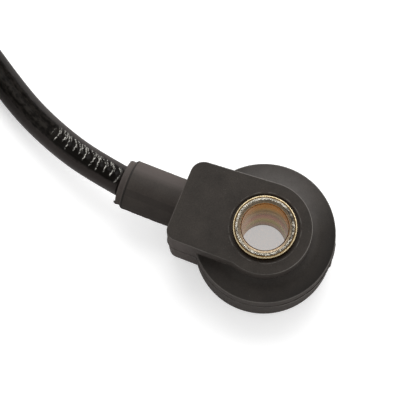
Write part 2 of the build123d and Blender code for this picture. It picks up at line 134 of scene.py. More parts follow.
def mesh_from(name, places, faces):
    """Make a smooth mesh of places in millimetres and faces."""
    mesh = bpy.data.meshes.new(name)
    mesh.from_pydata([Vector(place) * MM for place in places], [], faces)
    mesh.polygons.foreach_set("use_smooth", [True] * len(mesh.polygons))
    mesh.update()
    return mesh


def point_outwards(mesh):
    """Turn every face of a closed mesh outwards."""
    work = bmesh.new()
    work.from_mesh(mesh)
    bmesh.ops.recalc_face_normals(work, faces=work.faces)
    work.to_mesh(mesh)
    work.free()


def tube_mesh(name, places, sides, layer, unroll):
    """Make a closed tube of rows of places, with a UV layer that unroll gives for a row and a side."""
    last = len(places) // sides - 1
    faces = []
    for row in range(last):
        low, high = row * sides, (row + 1) * sides
        for side in range(sides):
            after = (side + 1) % sides
            faces.append((low + side, low + after, high + after, high + side))
    faces += [tuple(reversed(range(sides))), tuple(range(last * sides, (last + 1) * sides))]
    mesh = mesh_from(name, places, faces)
    spots = mesh.uv_layers.new(name=layer).data
    for number, face in enumerate(mesh.polygons):
        row, side = divmod(number, sides)
        for corner, loop in enumerate(face.loop_indices):
            spots[loop].uv = unroll(min(row + (corner > 1), last), side + (corner in (1, 2)))
    point_outwards(mesh)
    return mesh


def merged_copy(node, name, sharp_angle=30):
    """Copy a CAD node's mesh, join its loose triangles and shade it smooth up to an angle."""
    mesh = frame["nodes"][node].data.copy()
    mesh.name = name
    work = bmesh.new()
    work.from_mesh(mesh)
    bmesh.ops.remove_doubles(work, verts=work.verts, dist=0.002 * MM)
    bmesh.ops.dissolve_degenerate(work, edges=work.edges, dist=0.0005 * MM)
    bmesh.ops.dissolve_limit(work, angle_limit=radians(0.03), verts=work.verts, edges=work.edges)
    bmesh.ops.recalc_face_normals(work, faces=work.faces)
    work.to_mesh(mesh)
    work.free()
    mesh.polygons.foreach_set("use_smooth", [True] * len(mesh.polygons))
    mesh.set_sharp_from_angle(angle=radians(sharp_angle))
    return mesh


def finish_modifiers(piece):
    """Turn a piece and its modifiers into a plain mesh."""
    bpy.context.view_layer.update()
    seen = piece.evaluated_get(bpy.context.evaluated_depsgraph_get())
    mesh = bpy.data.meshes.new_from_object(seen)
    piece.modifiers.clear()
    piece.data = mesh
    return piece


def weigh_normals(piece):
    """Let the large faces set the shading, so that flat faces stay flat beside a rounding."""
    weigh = piece.modifiers.new("weigh", "WEIGHTED_NORMAL")
    weigh.keep_sharp = True
    weigh.weight = 80
    return finish_modifiers(piece)


def true_normals(piece):
    """Give flat and turned faces the normals of their true surfaces, which loose triangles only come near."""
    mesh = piece.data
    normals = [corner.vector.copy() for corner in mesh.corner_normals]
    up = Vector((0, 0, 1))
    slope = radians(disc_top_slope)

    def on_slope(spot):
        """Give the normal of the disc's sloping top at a place."""
        return Vector((spot.x, spot.y, 0)).normalized() * sin(slope) + up * cos(slope)

    def away_from(along, spot):
        """Give the way to a place from the stub's axis or the bore's."""
        spot = spot - parting_z * MM * up
        return spot - spot.dot(along) * along

    for face in mesh.polygons:
        on_stub = stub_mouth_x < face.center.x / MM < block_end_x - 0.7
        along = Vector((1, 0, 0)) if on_stub else up
        spots = {loop: mesh.vertices[mesh.loops[loop].vertex_index].co for loop in face.loop_indices}
        rise = face.normal.dot(along)
        lean = face.normal - rise * along
        middle = away_from(along, face.center)
        # a narrow facet whose normal points straight away from the axis is part of a turned surface
        turned = (lean.length > 0.05 and middle.length > MM
                  and abs(lean.normalized().dot(middle.normalized())) > cos(radians(5))
                  and all(away_from(along, spot).angle(middle) < radians(20 if on_stub else 10)
                          for spot in spots.values()))
        for loop, spot in spots.items():
            if abs(face.normal.z) > 0.99999 and not on_stub:
                normals[loop] = face.normal.copy()
            elif face.normal.dot(on_slope(face.center)) > cos(radians(1)):
                normals[loop] = on_slope(spot)
            elif turned:
                way = 1 if lean.dot(middle) > 0 else -1
                normals[loop] = rise * along + way * lean.length * away_from(along, spot).normalized()
            elif (normals[loop] - face.normal).length > 0.2:
                normals[loop] = face.normal.copy()
    mesh.normals_split_custom_set(normals)
    return piece


# ---------------------------------------------------------------- node helpers

class Flow:
    """What a node gives out. Sums and comparisons of flows are written plainly, and each adds a math node."""

    def __init__(self, socket):
        self.socket = socket
        self.tree = socket.id_data

    def __add__(self, other):
        return calc("ADD", self, other)

    def __sub__(self, other):
        return calc("SUBTRACT", self, other)

    def __rsub__(self, other):
        return calc("SUBTRACT", other, self)

    def __mul__(self, other):
        return calc("MULTIPLY", self, other)

    def __truediv__(self, other):
        return calc("DIVIDE", self, other)

    def __gt__(self, other):
        return calc("GREATER_THAN", self, other)

    def __lt__(self, other):
        return calc("LESS_THAN", self, other)

    def __abs__(self):
        return calc("ABSOLUTE", self)


def tree_of(*values):
    """Give the node tree of the first flow among some values."""
    return next(value.tree for value in values if isinstance(value, Flow))


def put(socket, value):
    """Link a flow to a node's input, or set the input to a plain value."""
    if isinstance(value, Flow):
        socket.id_data.links.new(value.socket, socket)
    else:
        socket.default_value = (*value, 1) if socket.type == "RGBA" else value


def add(tree, kind, links=None, **settings):
    """Add a node, set its properties, link or set its inputs, and give its outputs by name."""
    node = tree.nodes.new(kind)
    for key, value in settings.items():
        setattr(node, key, value)
    for key, value in (links or {}).items():
        put(node.inputs[key], value)
    return {socket.name: Flow(socket) for socket in node.outputs}


def calc(operation, *values):
    """Work out a sum of flows or numbers."""
    return add(tree_of(*values), "ShaderNodeMath", dict(enumerate(values)), operation=operation)["Value"]


def vector_calc(operation, *values, give="Vector"):
    """Work out a sum of vectors, which gives a vector or a value."""
    return add(tree_of(*values), "ShaderNodeVectorMath", dict(enumerate(values)), operation=operation)[give]


def dot(place, way):
    """Give how far a place lies along a way."""
    return vector_calc("DOT_PRODUCT", place, way, give="Value")


def parts_of(vector):
    """Split a vector into its X, Y and Z."""
    return add(vector.tree, "ShaderNodeSeparateXYZ", {"Vector": vector})


def about_axis(place, scale=1 / MM):
    """Give a place in millimetres, its parts, its way out from the Z axis, and its distance from that axis."""
    place = vector_calc("MULTIPLY", place, (scale,) * 3)
    way = vector_calc("MULTIPLY", place, (1, 1, 0))
    return place, parts_of(place), way, vector_calc("LENGTH", way, give="Value")


def spread(value, low, high, out_low=0.0, out_high=1.0, **settings):
    """Map a value's range onto another, held at both ends."""
    links = {"Value": value, "From Min": low, "From Max": high, "To Min": out_low, "To Max": out_high}
    return add(value.tree, "ShaderNodeMapRange", links, **settings)["Result"]


def blend(share, first, second):
    """Mix two colours by a share."""
    node = tree_of(share, first, second).nodes.new("ShaderNodeMix")
    node.data_type = "RGBA"
    for key, value in ((0, share), (6, first), (7, second)):
        put(node.inputs[key], value)
    return Flow(node.outputs[2])


def ramp_of(value, stops):
    """Give a colour that runs through the stops, each a place from 0 to 1 and its colour."""
    node = value.tree.nodes.new("ShaderNodeValToRGB")
    put(node.inputs["Fac"], value)
    elements = node.color_ramp.elements
    elements[0].color, elements[1].color = (*stops[0][1], 1), (*stops[-1][1], 1)
    for spot, tint in stops[1:-1]:
        elements.new(spot).color = (*tint, 1)
    return Flow(node.outputs["Color"])


def noise_at(place, scale, detail=3.0, roughness=0.5):
    """Give a noise of some scale."""
    links = {"Vector": place, "Scale": scale, "Detail": detail, "Roughness": roughness}
    return add(place.tree, "ShaderNodeTexNoise", links)["Fac"]


def noise_of(place, size, detail=3.0, roughness=0.55):
    """Give a noise whose spots have about this size in millimetres."""
    return noise_at(place, 1 / (size * MM), detail, roughness)


def bump(height, depth):
    """Give a normal from a height of 0 to 1 that stands for a depth in millimetres."""
    return add(height.tree, "ShaderNodeBump", {"Height": height, "Distance": depth * MM, "Strength": 1.0})["Normal"]


def spaced(inputs):
    """Give inputs under the names of their sockets, with spaces for underscores."""
    return {key.replace("_", " "): value for key, value in inputs.items()}


def start_group(name, kind="ShaderNodeTree", **inputs):
    """Begin a shared node group, and give it with its inputs, each a number or the kind of another socket."""
    group = bpy.data.node_groups.new(name, kind)
    for label, value in spaced(inputs).items():
        other = isinstance(value, str)
        socket = group.interface.new_socket(name=label, in_out="INPUT",
                                            socket_type="NodeSocket" + (value if other else "Float"))
        if not other:
            socket.default_value = value
    return group, add(group, "NodeGroupInput")


def end_group(group, **results):
    """Give a shared node group its outputs."""
    for label, value in results.items():
        kind = "NodeSocketGeometry" if value.socket.type == "GEOMETRY" else "NodeSocketFloat"
        group.interface.new_socket(name=label, in_out="OUTPUT", socket_type=kind)
    add(group, "NodeGroupOutput", results)
    return group


def use_group(group, **inputs):
    """Place a shared node group in the tree of its flows, and give its outputs."""
    return add(tree_of(*inputs.values()), "ShaderNodeGroup", spaced(inputs), node_tree=group)


# ---------------------------------------------------------------- lines raised by Geometry Nodes

def make_line_group():
    """Build the Geometry Nodes group that lays a thin round bead along every line of a mesh of edges.

    The bead is uneven by noise, heavier towards one side of the object, and swells or thins within a reach of its
    line's two ends.
    """
    group, given = start_group("raised_line", "GeometryNodeTree", Lines="Geometry", Radius=0.1 * MM, Step=0.15 * MM,
                               Unevenness=0.3, Seed=0.0, End_Reach=0.5 * MM, End_Size=1.0, Heavy_Side="Vector",
                               Heavy_Gain=1.0, Material="Material")
    curve = add(group, "GeometryNodeMeshToCurve", {"Mesh": given["Lines"]})["Curve"]
    curve = add(group, "GeometryNodeResampleCurve", {"Curve": curve, "Length": given["Step"]}, mode="LENGTH")["Curve"]
    place = add(group, "GeometryNodeInputPosition")["Position"]
    uneven = add(group, "ShaderNodeTexNoise", {"Vector": place, "W": given["Seed"], "Scale": 900.0, "Detail": 3.0},
                 noise_dimensions="4D")["Fac"]
    uneven = spread(uneven, 0.3, 0.7, -1.0, 1.0) * given["Unevenness"] + 1.0
    way = vector_calc("NORMALIZE", vector_calc("MULTIPLY", place, (1, 1, 0)))
    heavy = spread(dot(way, given["Heavy Side"]), 0.6, 0.97, 1.0, given["Heavy Gain"])
    run = add(group, "GeometryNodeSplineParameter")["Length"]
    to_end = calc("MINIMUM", run, add(group, "GeometryNodeSplineLength")["Length"] - run)
    end = spread(to_end, 0.0, given["End Reach"], given["End Size"], 1.0, interpolation_type="SMOOTHSTEP")
    profile = add(group, "GeometryNodeCurvePrimitiveCircle", {"Resolution": 10, "Radius": given["Radius"]})["Curve"]
    bead = add(group, "GeometryNodeCurveToMesh", {"Curve": curve, "Profile Curve": profile,
                                                  "Scale": uneven * heavy * end, "Fill Caps": True})["Mesh"]
    bead = add(group, "GeometryNodeSetShadeSmooth", {"Geometry": bead})["Geometry"]
    bead = add(group, "GeometryNodeRealizeInstances", {"Geometry": bead})["Geometry"]
    bead = add(group, "GeometryNodeSetMaterial", {"Geometry": bead, "Material": given["Material"]})["Geometry"]
    return end_group(group, Beads=bead)


def raise_lines(name, lines, slot, **inputs):
    """Lay beads along lines, each a list of places in metres, and keep the result as a plain mesh."""
    places, edges = [], []
    for line in lines:
        edges += [(len(places) + spot, len(places) + spot + 1) for spot in range(len(line) - 1)]
        places += line
    mesh = bpy.data.meshes.new(name)
    mesh.from_pydata(places, edges, [])
    piece = add_piece(name, mesh, slot)
    modifier = piece.modifiers.new(name, "NODES")
    modifier.node_group = line_group
    inputs = {**spaced(inputs), "Material": finishes[slot]}
    for item in line_group.interface.items_tree:
        if item.in_out == "INPUT" and item.name in inputs:
            modifier[item.identifier] = inputs[item.name]
    finish_modifiers(piece)
    point_outwards(piece.data)
    return piece


# ---------------------------------------------------------------- shared effects

def make_grain_group():
    """Fine moulding grain with broad clouds over it: a height and a tone, both about 0 to 1."""
    group, given = start_group("moulding_grain", Place="Vector", Grain_Scale=9000.0, Cloud_Scale=300.0)
    grain = noise_at(given["Place"], given["Grain Scale"], 4.0, 0.65)
    cloud = noise_at(given["Place"], given["Cloud Scale"], 5.0, 0.6)
    return end_group(group, Height=grain, Tone=grain * 0.45 + cloud * 0.55)


def make_speck_group():
    """Sparse specks of dust or pitting: a mask that is 1 inside a speck."""
    group, given = start_group("specks", Place="Vector", Speck_Scale=2500.0, Amount=0.3)
    spots = add(group, "ShaderNodeTexVoronoi", {"Vector": given["Place"], "Scale": given["Speck Scale"]})["Distance"]
    size = given["Amount"] * spread(noise_at(given["Place"], 700.0), 0.4, 0.65)
    return end_group(group, Mask=spots < size)


def make_turning_group():
    """Turning marks round the Z axis: a height of fine rings, broken up a little."""
    group, given = start_group("turning_marks", Place="Vector", Ring_Scale=9000.0)
    _, parts, _, radius = about_axis(given["Place"], 1.0)
    along = (radius + parts["Z"]) * given["Ring Scale"]
    angle = calc("ARCTAN2", parts["Y"], parts["X"])
    rings = noise_at(add(group, "ShaderNodeCombineXYZ", {"X": along, "Y": angle * 1.5})["Vector"], 1.0)
    return end_group(group, Height=rings, Radius=radius, Rise=parts["Z"])


def make_disc_light_group():
    """Painted light on the disc's sloping top: sheen by the plate and at the back, shade towards the rim in front."""
    group, given = start_group("painted_disc_sheen_and_shade", Place="Vector", Low=12.8, High=13.5)
    place, parts, way, radius = about_axis(given["Place"])
    level = (parts["Z"] > given["Low"]) * (parts["Z"] < given["High"])
    back = spread(dot(way, (-0.22, 0.975, 0)) / radius, 0.15, 0.93)
    front = 1.0 - back
    by_plate = spread(radius, 10.2, 8.6, 0.0, 0.34) * front
    mottle = spread(noise_at(place, 0.9, 4.0), 0.2, 0.8, 0.75, 1.1)
    painted_sheen = (back * spread(radius, 12.9, 8.6, 0.25, 1.0) + by_plate) * level * mottle
    painted_shade = spread(radius, 9.4, 12.6) * front * spread(parts["X"] / radius, 0.3, 0.95, 0.42, 1.1) * level
    return end_group(group, Pale=painted_sheen, Deep=painted_shade)


def make_flash_shadow_group():
    """Painted shadow below the parting line's flash, heavier on the right, and a thin paler ring on top."""
    group, given = start_group("painted_flash_shadow_and_ring", Place="Vector", Seam_Height=9.2, Ring_Radius=6.5)
    place, parts, way, radius = about_axis(given["Place"])
    wander = noise_at(place, 0.7)
    side = spread(dot(way, heavy_side) / radius, 0.45, 0.85, 0.45, 1.0)
    drop = (wander - 0.5) * 0.25 + (given["Seam Height"] - parts["Z"])
    flash_shadow = spread(drop, 0.02, 0.12) * spread(drop, side * 0.50 + 0.45, 0.35) * side
    from_ring = abs(radius - given["Ring Radius"])
    return end_group(group, Seam=flash_shadow * spread(wander, 0.3, 0.6, 0.75, 1.0),
                     Ring=spread(from_ring, 0.09, 0.03) * spread(wander, 0.42, 0.62, 0.0, 0.55))


grain_group = make_grain_group()
speck_group = make_speck_group()
turning_group = make_turning_group()
disc_light_group = make_disc_light_group()
flash_shadow_group = make_flash_shadow_group()
line_group = make_line_group()


# ---------------------------------------------------------------- materials

def start_material(name):
    """Begin a material, and give it with its shader and the coordinates of its surface."""
    material = bpy.data.materials.new(name)
    material.use_nodes = True
    tree = material.node_tree
    return material, tree.nodes["Principled BSDF"], add(tree, "ShaderNodeTexCoord")


def wire(shader, **sockets):
    """Set or link the shader's sockets."""
    for key, value in spaced(sockets).items():
        put(shader.inputs[key], value)


def black_nylon():
    """Black moulded plastic: fine grain, cloudy tone, a little dust, and drafted walls duller than the flat faces."""
    material, shader, where = start_material("black_nylon")
    place = where["Object"]
    spot = about_axis(place)[1]
    run = spot["X"]
    facets = parts_of(where["Normal"])
    facing = abs(facets["Z"])
    flat = spread(facing, 0.3, 0.9)
    wall = 1.0 - flat
    grain = use_group(grain_group, Place=place, Grain_Scale=3600.0, Cloud_Scale=260.0)
    tone = grain["Tone"]
    colour = blend(spread(tone, 0.28, 0.72), (0.0150, 0.0122, 0.0100), (0.0400, 0.0336, 0.0286))

    # paler edges: least towards the lead and along the plate's lower edge, most on the right, none on the stub
    # partly scuffing, partly a painted highlight on the edges
    lower = spread(facets["Y"], -0.45, -0.80) * spread(run, -9.0, -6.0) * (spot["Z"] > disc_top_z + 2.0)
    wear_and_highlight = spread(facets["X"], -0.6, -0.3, 0.25, 1.0) * (lower * -0.75 + 1.0)
    wear_and_highlight = wear_and_highlight * spread(facets["X"], 0.35, 0.75, 1.0, 1.5) * (run > block_end_x)
    edge = spread(facing, 0.12, 0.40) * spread(facing, 0.97, 0.75) * wear_and_highlight * spread(tone, 0.3, 0.6, 0.5, 1.0)
    colour = blend(edge, colour, (0.120, 0.111, 0.102))

    # painted sheen on the disc's top beside the plate and at the back, painted shade by the rim
    skin = use_group(disc_light_group, Place=place, Low=disc_top_z - 0.1, High=disc_top_z + 0.6)
    colour = blend(skin["Pale"] * (flat * 0.58), colour, (0.145, 0.135, 0.128))
    colour = blend(skin["Deep"] * (flat * 0.8), colour, (0.0075, 0.0062, 0.0052))

    # painted light on the walls, paler towards the lead, on the stub's back side and its rim, and hardly at all on the
    # plug
    beyond_mouth = run > stub_mouth_x - 1.0
    on_stub = (run < block_end_x - 0.3) * beyond_mouth
    on_plug = run < plug_front_x + 1.0
    painted_light = wall * spread(run, -9.0, -13.0, 0.10, 0.46) * (1.0 - (on_plug * 0.7 + on_stub))
    painted_light = on_stub * spread(facets["Y"], 0.22, 0.50, 0.10, 0.46) + painted_light
    painted_light = calc("MAXIMUM", painted_light, (run < stub_mouth_x + 1.2) * beyond_mouth * 0.36)
    colour = blend(painted_light, colour, (0.098, 0.080, 0.074))
    # painted shade: a dark line in the step near the stub's mouth
    from_step = abs(run - (stub_mouth_x + 1.45))
    colour = blend(spread(from_step, 0.24, 0.10, 0.0, 0.75), colour, (0.006, 0.005, 0.004))

    # painted shadow below the flash, which has no shine, a thin paler ring round the bushing, and dust
    marks = use_group(flash_shadow_group, Place=place, Seam_Height=parting_z, Ring_Radius=bushing_radius + 0.75)
    flash_shadow = marks["Seam"] * wall
    colour = blend(flash_shadow, colour, (0.0030, 0.0024, 0.0020))
    colour = blend(marks["Ring"] * flat, colour, (0.125, 0.118, 0.110))
    dust = use_group(speck_group, Place=place, Speck_Scale=1500.0, Amount=0.10)["Mask"]
    colour = blend(dust * 0.35, colour, (0.12, 0.115, 0.105))
    wire(shader, Base_Color=colour, Roughness=flat * -0.30 + 0.92 + spread(tone, 0.3, 0.7, -0.06, 0.06),
         Specular_IOR_Level=spread(flash_shadow, 0.0, 0.8, 0.16, 0.0), Normal=bump(grain["Height"], 0.03))
    return material


def plated_steel():
    """Yellow zinc plate on turned steel.

    Down the bore the film runs through orange, grey, pink and olive. On top, from the outside in, lie the cream rim,
    a brown groove, the granular silver land and a brown slope.
    """
    material, shader, where = start_material("plated_steel")
    place = where["Object"]
    turned = use_group(turning_group, Place=place, Ring_Scale=9000.0)
    radius, rise = turned["Radius"] / MM, turned["Rise"] / MM
    leftwards = dot(place, (-0.93, -0.37, 0)) / turned["Radius"]
    cloud = noise_of(place, 2.2, 4.0)
    crumbs = noise_of(place, 0.22, 5.0, 0.7)
    film = ramp_of(spread((cloud - 0.5) * 1.8 + rise, 0.0, bushing_height), (
        (0.0, (0.10, 0.07, 0.05)), (0.04, (0.32, 0.23, 0.18)), (0.12, (0.40, 0.27, 0.22)), (0.20, (0.31, 0.27, 0.10)),
        (0.28, (0.40, 0.34, 0.14)), (0.36, (0.42, 0.25, 0.17)), (0.45, (0.39, 0.18, 0.15)), (0.55, (0.30, 0.20, 0.14)),
        (0.62, (0.38, 0.28, 0.16)), (0.68, (0.22, 0.14, 0.06)), (0.74, (0.40, 0.25, 0.08)), (0.86, (0.52, 0.23, 0.03)),
        (1.0, (0.46, 0.23, 0.05))))
    # painted light: the bore's left wall is paler, where light from the right falls on it
    film = blend(spread(leftwards, 0.35, 0.95, 0.0, 0.62), film, (0.80, 0.58, 0.42))

    # the ring's zones, whose borders waver a little, and the crumbs between them
    wobble = (noise_of(place, 0.5, 4.0) - 0.5) * 0.22 + radius
    zones = ramp_of(spread(wobble, bore_radius, bushing_radius), (
        (0.0, (0.40, 0.19, 0.05)), (0.08, (0.36, 0.22, 0.10)), (0.20, (0.36, 0.29, 0.21)), (0.33, (0.17, 0.12, 0.07)),
        (0.42, (0.46, 0.43, 0.36)), (0.66, (0.52, 0.49, 0.42)), (0.71, (0.24, 0.15, 0.06)), (0.78, (0.13, 0.07, 0.02)),
        (0.83, (0.50, 0.35, 0.15)), (0.92, (1.0, 0.86, 0.58)), (1.0, (0.72, 0.52, 0.24))))
    on_land = spread(wobble, 4.76, 4.88) * spread(wobble, 5.32, 5.20)
    whole = 1.0 - (on_land * spread(leftwards, -0.55, -0.95, 0.55, 0.72) + 0.40)
    zones = blend(calc("MAXIMUM", spread(crumbs, 0.44, 0.58), whole), (0.035, 0.028, 0.018), zones)
    outer = radius > bore_radius + 0.02
    on_top = spread(rise, bushing_height - 0.45, bushing_height - 0.25) * outer
    on_flange = outer * (rise < flange_thickness + 0.1)
    yellow = blend(spread(cloud, 0.3, 0.7), (0.40, 0.29, 0.13), (0.52, 0.39, 0.19))
    colour = blend(on_flange, blend(on_top, film, zones), yellow)

    # bare grains on the land, and dark pits on its right side
    land = on_land * on_top
    grains = use_group(speck_group, Place=place, Speck_Scale=3400.0, Amount=0.46)["Mask"]
    colour = blend(grains * land * 0.7, colour, (0.80, 0.78, 0.72))
    pits = spread(noise_of(place, 0.55), 0.46, 0.52) * spread(leftwards, -0.45, -0.85, 0.0, 0.9)
    colour = blend(pits * land, colour, (0.030, 0.026, 0.022))
    height = crumbs * (land * 0.75 + on_top * 0.25) + turned["Height"] * 0.2
    edge_tint = blend(on_top, blend(0.66, film, (1.0, 0.92, 0.82)), (1.0, 0.95, 0.85))
    wire(shader, Base_Color=colour, Metallic=1.0, Specular_Tint=edge_tint, Normal=bump(height, 0.07),
         Roughness=on_top * 0.04 + spread(cloud, 0.3, 0.7, 0.20, 0.30))
    return material


def cable_jacket():
    """Black cable jacket: a smoother, mottled band along its top in painted shade, duller flanks, and streaks from
    drawing.
    """
    material, shader, where = start_material("cable_jacket")
    place = where["Object"]
    unrolled = add(place.tree, "ShaderNodeUVMap", uv_map="jacket")["UV"]
    parts = parts_of(unrolled)
    # the share of a turn round the cable: 0 below, 0.25 on the +Y side, 0.5 on top
    share = parts["Y"] / (tau * cable_radius * MM)
    by_stub = spread(parts["X"], 46 * MM, 14 * MM)
    streaks = noise_at(vector_calc("MULTIPLY", unrolled, (90.0, 1600.0, 1.0)), 1.0)
    mottle = noise_at(vector_calc("MULTIPLY", unrolled, (620.0, 1500.0, 1.0)), 1.0, 5.0, 0.65)
    grain = use_group(grain_group, Place=place, Grain_Scale=6000.0, Cloud_Scale=400.0)
    crinkle, crest = (add(place.tree, "ShaderNodeAttribute", attribute_name=name)["Fac"]
                      for name in ("crinkle", "crest"))

    matt = blend(spread(streaks, 0.3, 0.7), (0.0120, 0.0098, 0.0086), (0.0215, 0.0184, 0.0166))
    matt = blend(by_stub, matt, (0.0360, 0.0290, 0.0265))
    shaded = spread(share, 0.72, 0.61, 0.0, 0.8) * spread(share, 0.29, 0.38) * (by_stub * -0.45 + 1.0)
    matt = blend(shaded, matt, (0.0045, 0.0036, 0.0030))
    # painted shade: the band along the top is darker than the flanks, in a mottled tone
    from_band = abs(share - 0.494) + (streaks - 0.5) * 0.03 + (mottle - 0.5) * 0.06
    top_band = spread(from_band, 0.084, 0.104, 1.0, 0.0)
    painted_band_shade = blend(spread(mottle, 0.42, 0.60), (0.0022, 0.0017, 0.0013), (0.0110, 0.0093, 0.0077))
    colour = blend(top_band, matt, painted_band_shade)
    # painted highlight: a paler streak along the jacket just beside its top
    highlight_streak = spread(abs(share - 0.515), 0.028, 0.010) * spread(mottle, 0.40, 0.56, 0.1, 1.0)
    colour = blend(highlight_streak, colour, (0.0165, 0.0145, 0.0125))

    # the crinkles: painted shade over the band between their crests, which carry painted white glints here and there
    colour = blend(crinkle, colour, (0.0035, 0.0027, 0.0020))
    painted_light = crest * spread(noise_of(place, 0.45), 0.39, 0.53, 0.05, 1.0)
    colour = blend(painted_light, colour, (0.84, 0.81, 0.74))
    dull = spread(share, 0.395, 0.425) * spread(share, 0.490, 0.460)
    wire(shader, Base_Color=colour,
         Roughness=top_band * -0.18 + spread(streaks, 0.3, 0.7, 0.48, 0.60) + crinkle * -0.10,
         Specular_IOR_Level=top_band * -0.06 + 0.10 + dull * -0.025 + crinkle * 0.02,
         Normal=bump(streaks * 0.6 + grain["Height"] * 0.4, 0.012))
    return material


def worked_metal(name, dark, light, roughness, size, depth):
    """Plain metal with clouded tone and fine marks."""
    material, shader, where = start_material(name)
    cloud = noise_of(where["Object"], size, 4.0)
    marks = use_group(turning_group, Place=where["Object"], Ring_Scale=7000.0)["Height"]
    wire(shader, Base_Color=blend(spread(cloud, 0.35, 0.65), dark, light), Metallic=1.0,
         Roughness=spread(cloud, 0.3, 0.7, *roughness), Normal=bump(marks, depth))
    return material


def soft_coat(name, dark, light, roughness, size, depth):
    """Paint, film, rubber or insulation: a clouded tone with a fine skin."""
    material, shader, where = start_material(name)
    grain = use_group(grain_group, Place=where["Object"], Grain_Scale=1 / (size * MM), Cloud_Scale=500.0)
    wire(shader, Base_Color=blend(spread(grain["Tone"], 0.35, 0.65), dark, light),
         Roughness=spread(grain["Tone"], 0.3, 0.7, *roughness), Normal=bump(grain["Height"], depth))
    return material


def woven_strap():
    """Black woven strap: ribs across it, threads along it, firmer selvedges and a soft sheen."""
    material, shader, where = start_material("tie_strap")
    place = where["Object"]
    parts = parts_of(add(place.tree, "ShaderNodeUVMap", uv_map="weave")["UV"])
    rib, thread = (calc("SINE", parts[way] * (tau / pitch)) for way, pitch in (("X", 0.55), ("Y", 0.36)))
    weave = noise_of(place, 0.12, 4.0) * 0.35 + spread(rib * thread, -1.0, 1.0) * 0.65
    edge = spread(abs(parts["Y"]), 2.35, 2.45)
    colour = blend(weave, (0.0045, 0.0045, 0.0050), (0.026, 0.026, 0.028))
    wire(shader, Base_Color=blend(edge * 0.6, colour, (0.010, 0.010, 0.011)), Roughness=0.9, Sheen_Weight=0.15,
         Specular_IOR_Level=0.2, Normal=bump(weave, 0.10))
    return material


finishes = {"black_nylon": black_nylon(), "plated_steel": plated_steel(), "cable_jacket": cable_jacket(),
            "tie_strap": woven_strap()}
for make, name, *looks in (
        (worked_metal, "plain_steel", (0.36, 0.36, 0.37), (0.55, 0.55, 0.56), (0.30, 0.45), 3.0, 0.02),
        (worked_metal, "spring_steel", (0.20, 0.21, 0.24), (0.34, 0.35, 0.38), (0.25, 0.40), 2.0, 0.015),
        (worked_metal, "contact_brass", (0.62, 0.44, 0.18), (0.80, 0.62, 0.30), (0.25, 0.40), 1.5, 0.01),
        (worked_metal, "tinned_copper", (0.55, 0.53, 0.50), (0.75, 0.74, 0.72), (0.22, 0.38), 0.8, 0.01),
        (soft_coat, "insulating_film", (0.42, 0.19, 0.03), (0.58, 0.29, 0.05), (0.25, 0.4), 0.4, 0.01),
        (soft_coat, "piezo_ceramic", (0.32, 0.29, 0.22), (0.45, 0.42, 0.34), (0.5, 0.7), 0.15, 0.01),
        (soft_coat, "resistor_coat", (0.36, 0.27, 0.16), (0.52, 0.40, 0.26), (0.3, 0.45), 0.2, 0.01),
        (soft_coat, "signal_insulation", (0.50, 0.48, 0.44), (0.66, 0.64, 0.60), (0.35, 0.5), 0.2, 0.01),
        (soft_coat, "ground_insulation", (0.05, 0.05, 0.055), (0.09, 0.09, 0.095), (0.35, 0.5), 0.2, 0.01),
        (soft_coat, "seal_rubber", (0.20, 0.035, 0.020), (0.32, 0.060, 0.030), (0.55, 0.7), 0.2, 0.01)):
    finishes[name] = make(name, *looks)


# ---------------------------------------------------------------- the lead

def lead_points():
    """Give the control points of the whole lead: its route, the coil's turns and the tail."""
    turns = []
    count = (coil_end - coil_start) // coil_step
    reach = coil_radius / cos(radians(coil_step / 2))
    for number in range(1, count + 1):
        angle = coil_start + number * coil_step
        height = coil_low_z + (coil_high_z - coil_low_z) * smooth_step(climb_start, climb_end, angle)
        outwards = coil_radius if number == count else reach
        turns.append((coil_centre[0] + outwards * cos(radians(angle)),
                      coil_centre[1] + outwards * sin(radians(angle)), height))
    return [Vector(point) * MM for point in lead_route + turns + tail_route]


def line_of(points):
    """Read the smooth line of a NURBS spline that has these control points."""
    curve = bpy.data.curves.new("lead_line", "CURVE")
    curve.dimensions = "3D"
    curve.resolution_u = 24
    spline = curve.splines.new("NURBS")
    spline.points.add(len(points) - 1)
    for place, point in zip(spline.points, points):
        place.co = (*point, 1)
    spline.order_u = 3
    spline.use_endpoint_u = True
    holder = bpy.data.objects.new("lead_line", curve)
    line = bpy.data.meshes.new_from_object(holder)
    places = [vertex.co.copy() for vertex in line.vertices]
    bpy.data.objects.remove(holder)
    bpy.data.curves.remove(curve)
    bpy.data.meshes.remove(line)
    return places


# The crinkled band: its middle and half its width in degrees round the cable, how far it reaches from the stub in
# millimetres, and how far the jacket sinks between the crests
crinkle_angle, crinkle_half = 88, 38
crinkle_reach = 16.6
crinkle_sink = 0.11
# The tube's sides, and the distance of its rows beside the stub and beyond it
jacket_sides = 104
fine_step, coarse_step, fine_reach = 0.055 * MM, 1.2 * MM, 19 * MM


